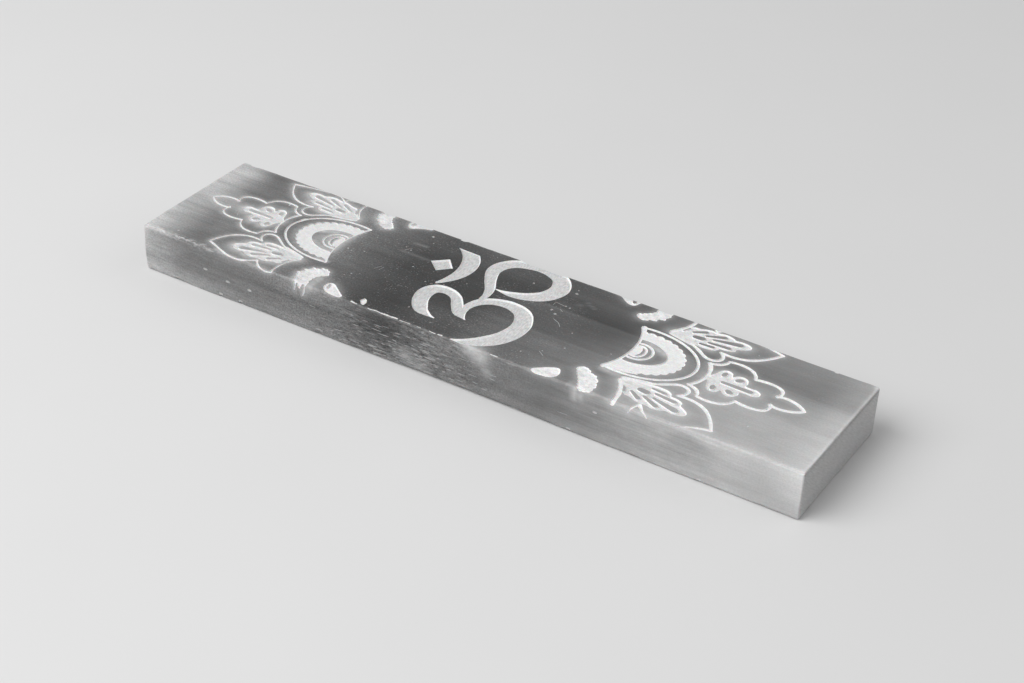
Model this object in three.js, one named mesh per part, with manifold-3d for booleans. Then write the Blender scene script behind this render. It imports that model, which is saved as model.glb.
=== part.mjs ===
// An engraved slab of satin-spar selenite, in millimetres.
// The slab lies flat: its length runs along X, its width along Y, and the engraved face looks up, +Z.
// The origin is the middle of the underside.

import * as THREE from 'three';
import { mergeVertices } from 'three/addons/utils/BufferGeometryUtils.js';
import Module from 'manifold-3d';

const wasm = await Module();
wasm.setup();

// The slab
const LENGTH = 200;
const WIDTH = 45;
const THICKNESS = 14;
const CORNER_RADIUS = 1.8; // in plan
const EDGE_RADIUS = 0.9; // worn round along every edge
const EDGE_STEPS = 3;
const CORNER_STEPS = 4;

// How deep the engraving goes below the top face
const SIGN_DEPTH = 0.4;
const ORNAMENT_DEPTH = 0.3;
const CUTTER_HEADROOM = 1;

// The two end ornaments point away from the middle and are mirrored about their own axis
const ENDS = [
  { hub: [-52, 1.1], outward: -1, stretch: [1, 1] },
  { hub: [41.9, 1.15], outward: 1, stretch: [1.085, 1.02] },
];
const LINE_WIDTH = 0.74;
const RING_WIDTH = 0.62;

// The half medallion of each ornament is cut off by a clear circle round the sign
const CLEAR_RADIUS = 24;
const CLEAR_CENTRE = -25.6;
const MEDALLION_HALF_WIDTH = 11.1;

const STONE = { color: 0xb4b7ba, roughness: 0.45, metalness: 0 };

// Outlines are arrays of Vector2. Points are written [along, across].
const point = ([x, y]) => new THREE.Vector2(x, y);

function bezier(start, pull1, pull2, end, steps = 7) {
  return new THREE.CubicBezierCurve(...[start, pull1, pull2, end].map(point)).getPoints(steps);
}

function ellipseArc(radii, halfAngle, steps, centre = [0, 0]) {
  const [rx, ry] = radii;
  return new THREE.EllipseCurve(...centre, rx, ry, -halfAngle, halfAngle).getPoints(steps);
}

// The two long sides of a band that follows a path, with a width for each point of it
function bandAlong(path, widths) {
  const sides = [1, -1].map((side) => path.map((p, i) => {
    const before = path[Math.max(i - 1, 0)];
    const after = path[Math.min(i + 1, path.length - 1)];
    const across = new THREE.Vector2().subVectors(after, before).normalize();
    across.set(-across.y, across.x);
    return p.clone().addScaledVector(across, side * widths[i] / 2);
  }));
  return [...sides[0], ...sides[1].reverse()];
}

const engravedLine = (path, width = LINE_WIDTH) => bandAlong(path, path.map(() => width));

// A pen stroke that swells and thins: its nodes are [x, y, width]
function penStroke(nodes, stepsPerNode = 4) {
  const curve = new THREE.CatmullRomCurve3(nodes.map((n) => new THREE.Vector3(...n)), false, 'catmullrom');
  const along = curve.getPoints((nodes.length - 1) * stepsPerNode);
  const finest = 0.06;
  return bandAlong(along.map((p) => new THREE.Vector2(p.x, p.y)), along.map((p) => Math.max(p.z, finest)));
}

// A leaf: two round ends of unlike size joined by straight sides
function leaf(base, baseRadius, tip, tipRadius, steps = 5) {
  const a = point(base);
  const b = point(tip);
  const heading = b.clone().sub(a).angle();
  const spread = Math.acos((baseRadius - tipRadius) / a.distanceTo(b));
  const arc = (centre, radius, from, to) => Array.from({ length: steps + 1 }, (_, i) => {
    const angle = heading + from + (to - from) * i / steps;
    return new THREE.Vector2(Math.cos(angle), Math.sin(angle)).multiplyScalar(radius).add(centre);
  });
  return [...arc(b, tipRadius, -spread, spread), ...arc(a, baseRadius, spread, 2 * Math.PI - spread)];
}

function disc(centre, radius, steps = 12) {
  return new THREE.EllipseCurve(...centre, radius, radius).getPoints(steps).slice(0, -1);
}

// The Om sign. Its top points to -X and its right-hand side to +Y.
const omSign = () => [
  penStroke([ // the small bowl and the middle bar
    [-9, -16.1, 0], [-11.6, -15.5, 2], [-14.4, -14.1, 3.9], [-16.9, -10.3, 4.4], [-17.6, -6.3, 4.5],
    [-16.2, -3.4, 4], [-13, -2.7, 3.4], [-9.8, -4.1, 3.1], [-7.3, -7.4, 3.3], [-5, -10.3, 3], [-2, -12.1, 0],
  ]),
  penStroke([ // the large bowl
    [-2.3, -11.9, 0], [-4.6, -9, 2.2], [-4.8, -6, 2.4], [-3.4, -2.5, 2.9], [-0.4, -0.1, 3.2], [4.1, 0.85, 3.9],
    [8.7, -0.75, 4.8], [11.3, -5.1, 5.1], [11.6, -9.8, 5.3], [10.1, -14.6, 5.2], [6.9, -18.7, 4.3],
    [3.3, -21.1, 2.4], [0, -22, 0],
  ]),
  penStroke([ // the curl at the back, which runs off the slab's back edge
    [-3.9, -1.2, 1.4], [-3.9, 1.5, 2], [-4.9, 4.9, 2.8], [-7.2, 8.9, 3.3], [-8.95, 13.4, 3.9],
    [-8, 17.8, 4.1], [-4.7, 21.1, 4.3], [1.5, 22.8, 4.6], [7.8, 20.7, 4.9], [10.5, 15.5, 5.4],
    [9.1, 10.3, 4.8], [5, 7, 3.7], [0.6, 5.6, 2.3], [-3.4, 5.5, 0],
  ]),
  [ // the crescent
    ...bezier([-16.2, 18.1], [-11.6, 12.5], [-11.4, 4.3], [-19.3, -2.6], 10),
    ...bezier([-19.3, -2.6], [-15.9, 4.3], [-16.5, 13], [-23.1, 18.4], 10).slice(1),
  ],
  disc([-22, 7.8], 3.5, 4), // the dot, a square stood on its corner
];

// The half medallion: a core and rings, a band with a scalloped rim and a thin outer ring
function medallion() {
  const halfTurn = 2.05; // past a quarter turn, so that every ring runs out over the clear circle
  const core = 1.1;
  const ringRadii = [2.3, 3.75];
  const outerRing = [15.3, 11.05];
  const bandInside = [7.4, 5.6];
  const bandOutside = [12, 9.3];
  const scallops = 15;
  const scallopDepth = 0.42;
  const stepsPerScallop = 4;
  const rim = ellipseArc(bandOutside, halfTurn, scallops * stepsPerScallop).map((p, i) => {
    const bulge = Math.abs(Math.sin(Math.PI * i / stepsPerScallop)) - 0.5;
    return p.multiplyScalar(1 + scallopDepth * bulge / bandOutside[1]);
  });
  const closing = Math.asin(MEDALLION_HALF_WIDTH / CLEAR_RADIUS);
  const closingRadius = CLEAR_RADIUS + RING_WIDTH / 3;
  return [
    disc([0, 0], core),
    ...ringRadii.map((r) => engravedLine(ellipseArc([r, r], halfTurn, 16), RING_WIDTH)),
    engravedLine(ellipseArc(outerRing, halfTurn, 28), RING_WIDTH),
    [...rim, ...ellipseArc(bandInside, halfTurn, 20).reverse()],
    engravedLine(ellipseArc([closingRadius, closingRadius], closing, 10, [CLEAR_CENTRE, 0]), RING_WIDTH),
  ];
}

// The petal on the ornament's axis has a round base line and a flower of five leaves inside
function axialPetal() {
  const baseRadius = 10.1;
  const baseHalfAngle = 0.62;
  return [
    engravedLine(ellipseArc([baseRadius, baseRadius], baseHalfAngle, 8, [8.2, 0])),
    leaf([19, 0], 0.5, [30.3, 0], 1.7),
  ];
}

// What lies on one side of the ornament's axis
function sideHalf() {
  const fanBase = [2.8, 13.4];
  const fanLeaves = [
    [[19.6, 17.3], 1.6], [[17.6, 14.4], 1.35], [[13.9, 12.3], 1.2], [[14.8, 18.6], 1.3],
    [[10.2, 18.5], 1.25], [[6.5, 18], 1.05],
  ];
  const beanScallops = [[-5.8, 14.7], [-3.7, 15.8], [-2.3, 17.4], [-1.75, 19.1], [-2.1, 21]];
  return [
    // the lobed edge of the axial petal, from its base to its tip
    engravedLine([
      ...bezier([16.3, 5.95], [19, 6.4], [20.2, 7.6], [20.3, 9.3], 4),
      ...bezier([20.3, 9.3], [22.5, 10.6], [27.2, 10.8], [28.2, 5.8]).slice(1),
    ]),
    engravedLine(bezier([28.2, 5.8], [31, 7.6], [36.6, 7], [34.8, 2])),
    engravedLine(bezier([34.6, 2.2], [37.3, 3.6], [40.5, 2.4], [42.6, 0], 5)),
    // two leaves of the flower inside it
    leaf([19.2, 0.6], 0.8, [25.8, 3.7], 1.8),
    leaf([19.2, 0.6], 0.8, [21.5, 4.1], 1.75),
    // the side petal: inner edge, small lobe, outer edge and back edge
    engravedLine(bezier([28.2, 20.3], [26.6, 15.5], [24, 10.4], [17, 11.8])),
    engravedLine([
      ...bezier([17, 11.8], [18.8, 9.6], [18.6, 6.9], [15.6, 6.9], 5),
      ...bezier([15.6, 6.9], [13.5, 6.9], [12.8, 9.2], [9, 10.8], 5).slice(1),
    ]),
    engravedLine(bezier([9, 10.8], [7, 11.4], [5, 11.8], [2.6, 12.6], 3), 1.1),
    engravedLine(bezier([28.2, 20.3], [21.5, 22.2], [17.5, 26.2], [11.3, 20.8])),
    engravedLine(bezier([11.3, 20.8], [10.2, 22.9], [7, 24.9], [5.2, 23.4], 5)),
    engravedLine(bezier([5.2, 23.4], [5.4, 20], [5, 17.5], [2.2, 13.2], 5)),
    // the fan of leaves inside it
    ...fanLeaves.map(([tip, radius]) => leaf(fanBase, 0.6, tip, radius)),
    // the scalloped bean and the small leaf between the ornament and the sign
    penStroke([[-8.6, 15.6, 0.3], [-7.2, 15.2, 2.6], [-4.9, 17, 3.6], [-3.1, 20, 4], [-3.2, 24.2, 3.8]], 3),
    ...beanScallops.map((centre) => disc(centre, 1.05, 10)),
    leaf([-16.6, 22.3], 0.8, [-12.6, 20.6], 1.85),
  ];
}

// Moves an outline from an ornament's own axes to the slab's. side is 1 or -1 across the ornament's axis.
function placed(outline, { hub, outward, stretch }, side = 1) {
  return outline.map((p) => new THREE.Vector2(
    hub[0] + outward * stretch[0] * p.x,
    hub[1] + side * stretch[1] * p.y,
  ));
}

// Solids
function solid(geometry) {
  const bare = geometry.clone();
  bare.deleteAttribute('normal');
  bare.deleteAttribute('uv');
  const merged = mergeVertices(bare);
  return new wasm.Manifold(new wasm.Mesh({
    numProp: 3,
    vertProperties: new Float32Array(merged.attributes.position.array),
    triVerts: new Uint32Array(merged.index.array),
  }));
}

function cutter(outline, depth) {
  const geometry = new THREE.ExtrudeGeometry(new THREE.Shape(outline), {
    depth: depth + CUTTER_HEADROOM,
    bevelEnabled: false,
  });
  return solid(geometry.translate(0, 0, THICKNESS - depth));
}

const joined = (solids) => solids.reduce((all, next) => all.add(next));

function slabBody() {
  const [halfLength, halfWidth] = [LENGTH / 2 - EDGE_RADIUS, WIDTH / 2 - EDGE_RADIUS];
  const inset = CORNER_RADIUS - EDGE_RADIUS;
  const plan = new THREE.Shape();
  [[1, 1], [-1, 1], [-1, -1], [1, -1]].forEach(([sx, sy], quarter) => {
    const from = quarter * Math.PI / 2;
    plan.absarc(sx * (halfLength - inset), sy * (halfWidth - inset), inset, from, from + Math.PI / 2);
  });
  const geometry = new THREE.ExtrudeGeometry(plan, {
    depth: THICKNESS - 2 * EDGE_RADIUS,
    bevelThickness: EDGE_RADIUS,
    bevelSize: EDGE_RADIUS,
    bevelSegments: EDGE_STEPS,
    curveSegments: CORNER_STEPS,
  });
  return solid(geometry.translate(0, 0, EDGE_RADIUS));
}

function ornament(end) {
  const clearCircle = cutter(placed(disc([CLEAR_CENTRE, 0], CLEAR_RADIUS, 72), end), ORNAMENT_DEPTH + 1);
  const cutAll = (outlines, side) => joined(outlines.map((o) => cutter(placed(o, end, side), ORNAMENT_DEPTH)));
  return joined([
    cutAll(medallion()).subtract(clearCircle),
    cutAll(axialPetal()),
    cutAll(sideHalf(), 1),
    cutAll(sideHalf(), -1),
  ]);
}

function engravedSlab() {
  const sign = joined(omSign().map((outline) => cutter(outline, SIGN_DEPTH)));
  return slabBody().subtract(joined([sign, ...ENDS.map(ornament)]));
}

function meshOf(body, name, material) {
  const { vertProperties, triVerts } = body.getMesh();
  const geometry = new THREE.BufferGeometry();
  geometry.setAttribute('position', new THREE.BufferAttribute(vertProperties, 3));
  geometry.setIndex(new THREE.BufferAttribute(triVerts, 1));
  geometry.computeVertexNormals();
  const mesh = new THREE.Mesh(geometry, new THREE.MeshStandardMaterial({ ...material, flatShading: true }));
  mesh.name = name;
  return mesh;
}

const part = new THREE.Group();
part.add(meshOf(engravedSlab(), 'selenite_slab', STONE));

export default part;
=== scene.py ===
import math

import bpy
import numpy as np
from mathutils import Matrix, Vector, kdtree, noise


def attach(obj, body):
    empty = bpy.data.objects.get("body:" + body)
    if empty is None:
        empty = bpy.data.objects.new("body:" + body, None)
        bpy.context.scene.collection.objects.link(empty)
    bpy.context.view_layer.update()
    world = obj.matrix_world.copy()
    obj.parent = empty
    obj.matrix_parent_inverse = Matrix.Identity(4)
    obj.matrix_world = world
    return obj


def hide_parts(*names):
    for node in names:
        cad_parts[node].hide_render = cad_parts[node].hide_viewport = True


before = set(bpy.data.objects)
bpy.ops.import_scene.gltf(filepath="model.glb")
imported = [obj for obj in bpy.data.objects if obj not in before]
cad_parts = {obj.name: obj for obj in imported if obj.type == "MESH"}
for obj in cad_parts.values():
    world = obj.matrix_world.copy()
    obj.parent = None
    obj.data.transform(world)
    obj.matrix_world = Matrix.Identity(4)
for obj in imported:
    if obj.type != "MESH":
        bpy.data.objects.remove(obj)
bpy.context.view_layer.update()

MM = 0.001

# The slab, in millimetres
HALF = np.array([100.0, 22.5, 7.0])
MIDDLE = np.array([0.0, 0.0, 7.0])
TOP = 14.0
FRONT, BACK = -22.5, 22.5

# Radius of each worn edge, by the side it lies on: -1 or 1 across it, 0 along it
WORN_EDGES = {
    (0, -1, 1): 1.0, (0, 1, 1): 0.25, (0, -1, -1): 0.9, (0, 1, -1): 1.0,
    (-1, 0, 1): 0.5, (1, 0, 1): 0.5, (-1, 0, -1): 1.5, (1, 0, -1): 0.9,
    (-1, -1, 0): 0.4, (-1, 1, 0): 2.6, (1, -1, 0): 0.5, (1, 1, 0): 1.0,
}
# Cuts near an edge lie this far from it, so that its rounding is smooth
EDGE_CUTS = [0.12, 0.28, 0.48, 0.75, 1.1, 1.6, 2.2, 3.0]
# Elsewhere they are about this far apart, along each axis
CUT_SPACING = (0.95, 0.8, 0.62)

# The floor lies this far under the stone, so that their surfaces stay apart
FLOOR_GAP = 0.03

# How deep each kind of cut goes
SIGN_DEPTH = 0.4
ORNAMENT_DEPTH = 0.3
SPECK_DEPTH = 0.12
SCRATCH_DEPTH = 0.06
BRUISE_DEPTH = 0.1
SPLINTER_DEPTH = 0.09
# A cutter reaches this far above the stone, and its walls spread by the slope times their height
HEADROOM = 0.35
WALL_SLOPE = 0.3
# The circle round the sign that cuts the medallions off, in an ornament's own axes
CLEAR_RADIUS = 24
CLEAR_CENTRE = -25.6
# Near the back edge the drawing is squeezed, from this line on, to end at the engraved edge
SQUEEZED_FROM = 15
ENGRAVED_EDGE = 22.3

# An ornament's place and sizes. The right-hand one is drawn a little larger and with a broader line.
# An ornament's haze, and that of the slots in its leaves, is partly powder and partly painted glow of light
# scattered in the stone
LEFT_END = {
    "hub": (-52, 1.1), "outward": -1,
    "stretch": (1, 1), "inner_stretch": 1, "far_stretch": 0,
    "line": 0.68, "ring": 0.7, "corner": 0.3, "halo_glow": 1, "slot_growth": 0.06, "slot_halo_glow": 0.55,
}
RIGHT_END = {
    "hub": (41.9, 1.15), "outward": 1,
    "stretch": (1.078, 1.02), "inner_stretch": 1.03, "far_stretch": 0.036,
    "line": 0.98, "ring": 0.78, "corner": 0.9, "halo_glow": 0.7, "slot_growth": 0.15, "slot_halo_glow": 0.2,
}
# How much each kind of cut clouds the stone beside it, partly with powder and partly with painted glow of
# light scattered in the stone, and how far that reaches
CLOUDS_AND_GLOW = {
    "line": (0.32, 0.55), "lost line": (0.45, 0.7), "broad line": (0.5, 0.8), "flower": (0.5, 1.2),
    "fan": (0.55, 1.3), "bean": (0.4, 0.7), "small leaf": (0.3, 0.5),
    "band": (0.3, 0.9), "inner ring": (0.55, 0.6), "outer ring": (0.4, 0.6),
}


def put(name, data, place, turned):
    made = bpy.data.objects.new(name, data)
    made.matrix_world = Matrix.Translation(place) @ turned
    bpy.context.scene.collection.objects.link(made)
    return made


# The camera stands where the photograph was taken from
def aim_camera():
    azimuth, elevation, roll = (math.radians(a) for a in (29.7332, 32.6313, 3.3568))
    slide_right, slide_up, distance = 4.9302, 1.4255, 574.299
    back = Vector((
        math.sin(azimuth) * math.cos(elevation),
        -math.cos(azimuth) * math.cos(elevation),
        math.sin(elevation),
    ))
    level_right = Vector((0, 0, 1)).cross(back).normalized()
    level_up = back.cross(level_right)
    right = level_right * math.cos(roll) + level_up * math.sin(roll)
    up = level_up * math.cos(roll) - level_right * math.sin(roll)
    turned = Matrix((right, up, back)).transposed().to_4x4()
    place = (right * slide_right + up * slide_up + back * distance) * MM
    camera = put("camera", bpy.data.cameras.new("camera"), place, turned)
    camera.data.sensor_width = 36
    camera.data.lens = 75.83
    camera.data.clip_start = 0.01
    bpy.context.scene.camera = camera


def unit(vectors):
    return vectors / np.linalg.norm(vectors, axis=1)[:, None]


def at_height(flat, height=0.0):
    return np.column_stack([flat, np.full(len(flat), height)])


# The worn body: every point of the sharp box has a place on the rounded one
def edge_radius(points):
    to_walls = [HALF - (points - MIDDLE) * side for side in (-1, 1)]
    total = np.zeros(len(points))
    weights = np.zeros(len(points))
    for sides, radius in WORN_EDGES.items():
        across = [i for i in range(3) if sides[i]]
        away = [to_walls[(sides[i] + 1) // 2][:, i] for i in across]
        weight = 1 / (np.hypot(*away) + 0.3) ** 4
        here = np.full(len(points), radius)
        if sides == (0, -1, -1):
            x = points[:, 0]
            here += 1.1 * np.exp(-((x - 2) / 30) ** 2) - 0.45 * np.exp(-((x + 78) / 10) ** 2)
        if sides == (-1, -1, 0):
            here += 0.8 * np.exp(-((points[:, 2] / 3.2) ** 2))
        total += weight * here
        weights += weight
    return total / weights


def lumps(points, sizes, shift=0):
    scaled = points / np.array(sizes) + shift
    return np.array([noise.noise(p) for p in scaled.tolist()])


def relief(points, outward):
    """How far the stone has worn back from its true faces, in millimetres."""
    steep = 1 - outward[:, 2] ** 2
    along = 1 - outward[:, 0] ** 2
    edge = np.clip((1 - np.abs(outward).max(axis=1)) / 0.29, 0, 1)
    fibres = 0.05 * (0.6 + lumps(points, (45, 0.8, 0.7)))
    saw = 0.05 * (0.6 + lumps(points, (30, 6, 3.5), 7.3))
    nicks = 0.5 * np.clip(lumps(points, (2.6, 1.1, 1.1), 3.1) - 0.22, 0, 1)
    dents = 0.28 * np.clip(lumps(points, (9, 4, 4), 11.7) + 0.1, 0, 1)
    return steep * along * (fibres + saw) + edge * (nicks + dents)


def on_stone(points, height=0):
    """Moves points of the sharp box onto the worn surface, and height off it."""
    radius = edge_radius(points)
    inner = np.clip(points - MIDDLE, radius[:, None] - HALF, HALF - radius[:, None])
    outward = unit(points - MIDDLE - inner)
    reach = radius + height - relief(points, outward)
    return MIDDLE + inner + outward * reach[:, None]


def fitted(flat):
    """Squeezes a drawn pattern a little where it nears the back edge or runs down over the front one."""
    x, y = flat[:, 0], flat[:, 1]
    drawn_edge = 22.95 - 0.0035 * x
    squeeze = (ENGRAVED_EDGE - SQUEEZED_FROM) / (drawn_edge - SQUEEZED_FROM)
    y = np.where(y > SQUEEZED_FROM, SQUEEZED_FROM + (y - SQUEEZED_FROM) * squeeze, y)
    over = np.clip(-y - 21.5, 0, None)
    x = x - 0.05 * over ** 1.8
    y = y + 0.26 * np.clip(-y - 23.5, 0, None)
    return np.column_stack([x, y])


def unfolded(flat):
    """Points of a flat pattern, as x, y and height, laid over the top and down the long sides."""
    x, y, height = flat.T
    over = np.clip(np.abs(y) - HALF[1], 0, None)
    box = np.stack([x, np.clip(y, -HALF[1], HALF[1]), TOP - over], axis=1)
    return on_stone(box, height)


# Small helpers for work in Blender
def deselect_all():
    bpy.ops.object.select_all(action="DESELECT")


def pick(piece):
    deselect_all()
    piece.select_set(True)
    bpy.context.view_layer.objects.active = piece


def vertices_of(piece):
    places = np.empty(len(piece.data.vertices) * 3)
    piece.data.vertices.foreach_get("co", places)
    return places.reshape(-1, 3) / MM


def move_vertices(piece, places):
    piece.data.vertices.foreach_set("co", (places * MM).ravel())
    piece.data.update()


def edit_all():
    bpy.ops.object.mode_set(mode="EDIT")
    bpy.ops.mesh.select_all(action="SELECT")


def slice_across(axis, place):
    """Cuts the piece that is being edited by a plane across an axis."""
    point = [0, 0, 0]
    point[axis] = place * MM
    normal = [0, 0, 0]
    normal[axis] = 1
    bpy.ops.mesh.select_all(action="SELECT")
    bpy.ops.mesh.bisect(plane_co=point, plane_no=normal, threshold=1e-7)


def cuts_along(axis, spacing):
    low, high = MIDDLE[axis] - HALF[axis], MIDDLE[axis] + HALF[axis]
    first, last = low + EDGE_CUTS[-1], high - EDGE_CUTS[-1]
    count = round((last - first) / spacing)
    near = [low + c for c in EDGE_CUTS[:-1]] + [high - c for c in EDGE_CUTS[:-1]]
    return near + list(np.linspace(first, last, count + 1))


def slab_body(stone):
    deselect_all()
    bpy.ops.mesh.primitive_cube_add(size=2, location=MIDDLE * MM)
    slab = bpy.context.object
    slab.name = "worn_slab"
    bpy.ops.transform.resize(value=HALF * MM)
    bpy.ops.object.transform_apply(location=True, rotation=True, scale=True)
    slab.data.materials.append(stone)
    edit_all()
    for axis, spacing in enumerate(CUT_SPACING):
        for place in cuts_along(axis, spacing):
            slice_across(axis, place)
    bpy.ops.object.mode_set(mode="OBJECT")
    move_vertices(slab, on_stone(vertices_of(slab)))
    return slab


# Outlines are drawn flat, in millimetres. Each is a function of how much it grows.
def bezier(start, pull1, pull2, end, steps=9):
    t = np.linspace(0, 1, steps + 1)[:, None]
    start, pull1, pull2, end = (np.array(p, float) for p in (start, pull1, pull2, end))
    return (1 - t) ** 3 * start + 3 * t * (1 - t) ** 2 * pull1 + 3 * t ** 2 * (1 - t) * pull2 + t ** 3 * end


def chain(*paths):
    return np.concatenate([paths[0]] + [p[1:] for p in paths[1:]])


def ellipse_arc(radii, half_angle, steps, centre=(0, 0)):
    angle = np.linspace(-half_angle, half_angle, steps + 1)
    return np.stack([centre[0] + radii[0] * np.cos(angle), centre[1] + radii[1] * np.sin(angle)], axis=1)


def curve_between(p0, p1, p2, p3, t):
    """A smooth curve from p1 to p2, where p0 comes before them and p3 after."""
    return (
        (2 * t ** 3 - 3 * t ** 2 + 1) * p1 + (t ** 3 - 2 * t ** 2 + t) * (p2 - p0) / 2
        + (3 * t ** 2 - 2 * t ** 3) * p2 + (t ** 3 - t ** 2) * (p3 - p1) / 2
    )


def unsteady(path, size):
    """A hand's unsteadiness: a number around 0 for each point of a path."""
    return lumps(at_height(path), (size, size, 1))


def band(path, left, right):
    """The outline of a band with round ends, and its width on either side of a path."""
    heading = unit(np.gradient(path, axis=0))
    across = np.column_stack([-heading[:, 1], heading[:, 0]])

    def outline(grow):
        one = np.maximum(left + grow, 0.02)
        other = np.maximum(right + grow, 0.02)
        ends = []
        for i, turn in ((-1, 1), (0, -1)):
            middle = path[i] + across[i] * (one[i] - other[i]) / 2
            radius = (one[i] + other[i]) / 2
            angles = np.array([45, 0, -45]) if turn == 1 else np.array([-45, 0, 45])
            ends.append([
                middle + radius * (heading[i] * turn * math.cos(a) + across[i] * math.sin(a))
                for a in np.radians(angles)
            ])
        first_side = path + across * one[:, None]
        second_side = path - across * other[:, None]
        return np.concatenate([first_side, ends[0], second_side[::-1], ends[1]])

    return outline


def line(path, width, runs_out=False, shake=0.22):
    """A line of steady width, or one that thins to nothing much at its far end."""
    path = np.array(path, float)
    half = width / 2 * (1 + shake * unsteady(path, 1.4))
    if runs_out:
        half *= np.linspace(1, 0.3, len(path))
    return band(path, half, half)


def pen_stroke(nodes, steps=8, shake=0.03):
    """A stroke that swells and thins: its nodes are x, y and width."""
    nodes = np.array(nodes, float)
    padded = np.concatenate([[2 * nodes[0] - nodes[1]], nodes, [2 * nodes[-1] - nodes[-2]]])
    t = np.linspace(0, 1, steps, endpoint=False)[:, None]
    along = [curve_between(*four, t) for four in zip(padded, padded[1:], padded[2:], padded[3:])]
    along = np.concatenate(along + [nodes[-1:]])
    path = along[:, :2]
    half = np.maximum(along[:, 2], 0.04) / 2 * (1 + shake * unsteady(path, 1.2))
    return band(path, half, half)


def leaf(base, base_radius, tip, tip_radius, steps=9):
    """Two round ends of unlike size joined by straight sides."""
    base, tip = np.array(base, float), np.array(tip, float)
    reach = tip - base
    heading = math.atan2(reach[1], reach[0])
    spread = math.acos((base_radius - tip_radius) / np.hypot(*reach))

    def arc(centre, radius, first, last):
        angles = heading + np.linspace(first, last, steps)
        return centre + radius * np.column_stack([np.cos(angles), np.sin(angles)])

    def outline(grow):
        round_tip = arc(tip, tip_radius + grow, -spread, spread)
        round_base = arc(base, base_radius + grow, spread, 2 * math.pi - spread)
        return np.concatenate([round_tip, round_base])

    return outline


def oval(centre, radii, tilt=0, steps=16):
    """An oval with its long axis tilted by an angle."""
    angles = np.linspace(0, 2 * math.pi, steps, endpoint=False)
    along = np.array([math.cos(tilt), math.sin(tilt)])
    across = np.array([-along[1], along[0]])

    def outline(grow):
        rx, ry = radii[0] + grow, radii[1] + grow
        return (
            np.array(centre) + rx * np.cos(angles)[:, None] * along + ry * np.sin(angles)[:, None] * across
        )

    return outline


SCALLOP_LENGTH = 1.35


def blob(nodes, steps=4, shake=0.07, scallop=0):
    """A smooth closed outline through points, a little unsteady, and scalloped where that is asked for."""
    nodes = np.array(nodes, float)
    t = np.linspace(0, 1, steps, endpoint=False)[:, None]
    turned = [np.roll(nodes, -k, axis=0) for k in (-1, 0, 1, 2)]
    rim = np.concatenate([curve_between(*four, t) for four in zip(*turned)])
    heading = unit(np.roll(rim, -1, axis=0) - np.roll(rim, 1, axis=0))
    outward = np.column_stack([heading[:, 1], -heading[:, 0]])
    x, y = rim.T
    if (x * np.roll(y, -1) - np.roll(x, -1) * y).sum() < 0:
        outward = -outward
    wobble = shake * unsteady(rim, 0.9)
    along = np.cumsum(np.linalg.norm(rim - np.roll(rim, 1, axis=0), axis=1))
    wobble += scallop * (np.abs(np.sin(along * math.pi / SCALLOP_LENGTH)) - 0.5)
    return lambda grow: rim + outward * (wobble[:, None] + grow)


# The Om sign. Its top points to -X and its right-hand side to +Y.
def om_sign():
    small_bowl_and_bar = pen_stroke([
        [-9, -16.1, 0], [-11.6, -15.5, 2], [-14.4, -14.1, 3.9], [-16.9, -10.3, 4.4], [-17.6, -6.3, 4.5],
        [-16.2, -3.4, 4], [-13, -2.7, 3.4], [-9.8, -4.1, 3.1], [-7.3, -7.4, 3.3], [-5, -10.3, 3],
        [-2, -12.1, 0],
    ])
    large_bowl = pen_stroke([
        [-2.3, -11.9, 0], [-4.6, -9, 2.2], [-4.8, -6, 2.4], [-3.4, -2.5, 2.9], [-0.4, -0.1, 3.2],
        [4.1, 0.85, 3.9], [8.7, -0.75, 4.8], [11.3, -5.1, 5.1], [11.6, -9.8, 5.3], [10.1, -14.6, 5.2],
        [6.9, -18.7, 4.3], [3.3, -21.1, 2.4], [0, -22, 0],
    ])
    back_curl = pen_stroke([
        [-3.9, -1.2, 1.4], [-3.9, 1.5, 2], [-4.9, 4.9, 2.8], [-7.2, 8.9, 3.3], [-8.95, 13.4, 3.9],
        [-8, 17.8, 4.1], [-4.7, 21.1, 4.3], [1.5, 22.8, 4.6], [7.8, 20.7, 4.9], [10.5, 15.5, 5.4],
        [9.1, 10.3, 4.8], [5, 7, 3.7], [0.6, 5.6, 2.3], [-3.4, 5.5, 0],
    ])
    outer = bezier([-19.3, -2.6], [-11.4, 4.3], [-11.6, 12.5], [-16.2, 18.1], 24)
    inner = bezier([-19.3, -2.6], [-15.9, 4.3], [-16.5, 13], [-23.1, 18.4], 24)
    spine = (outer + inner) / 2
    half = np.linalg.norm(outer - inner, axis=1) / 2

    def crescent(grow):
        share = np.clip((half + grow) / np.maximum(half, 1e-6), 0, 1.6)[:, None]
        back_again = (spine + (inner - spine) * share)[::-1]
        return np.concatenate([spine + (outer - spine) * share, back_again[:-1]])

    def dot(grow):
        corners = np.array([[3.5, 0], [0.3, 3.6], [-3.5, -0.1], [0.3, -3.5]])
        return np.array([-22, 7.8]) + corners * (1 + grow * math.sqrt(2) / 3.5)

    return [small_bowl_and_bar, large_bowl, back_curl, crescent, dot]


# The half medallion: a core and rings, a band with a scalloped rim, and a thin outer ring
CORE_CENTRE = (-0.6, 0)
CORE_RADII = (1.55, 2.5)
SMALL_RINGS = ((1.95, 2.6), (3.7, 3.75))
BAND_RADII = (9.7, 7.45)
OUTER_RING = (15.3, 11.05)
HALF_TURN = 2.05
SCALLOPS = 19
# Half the height of the line that closes it
CLOSING_HALF = 10.6


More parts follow.
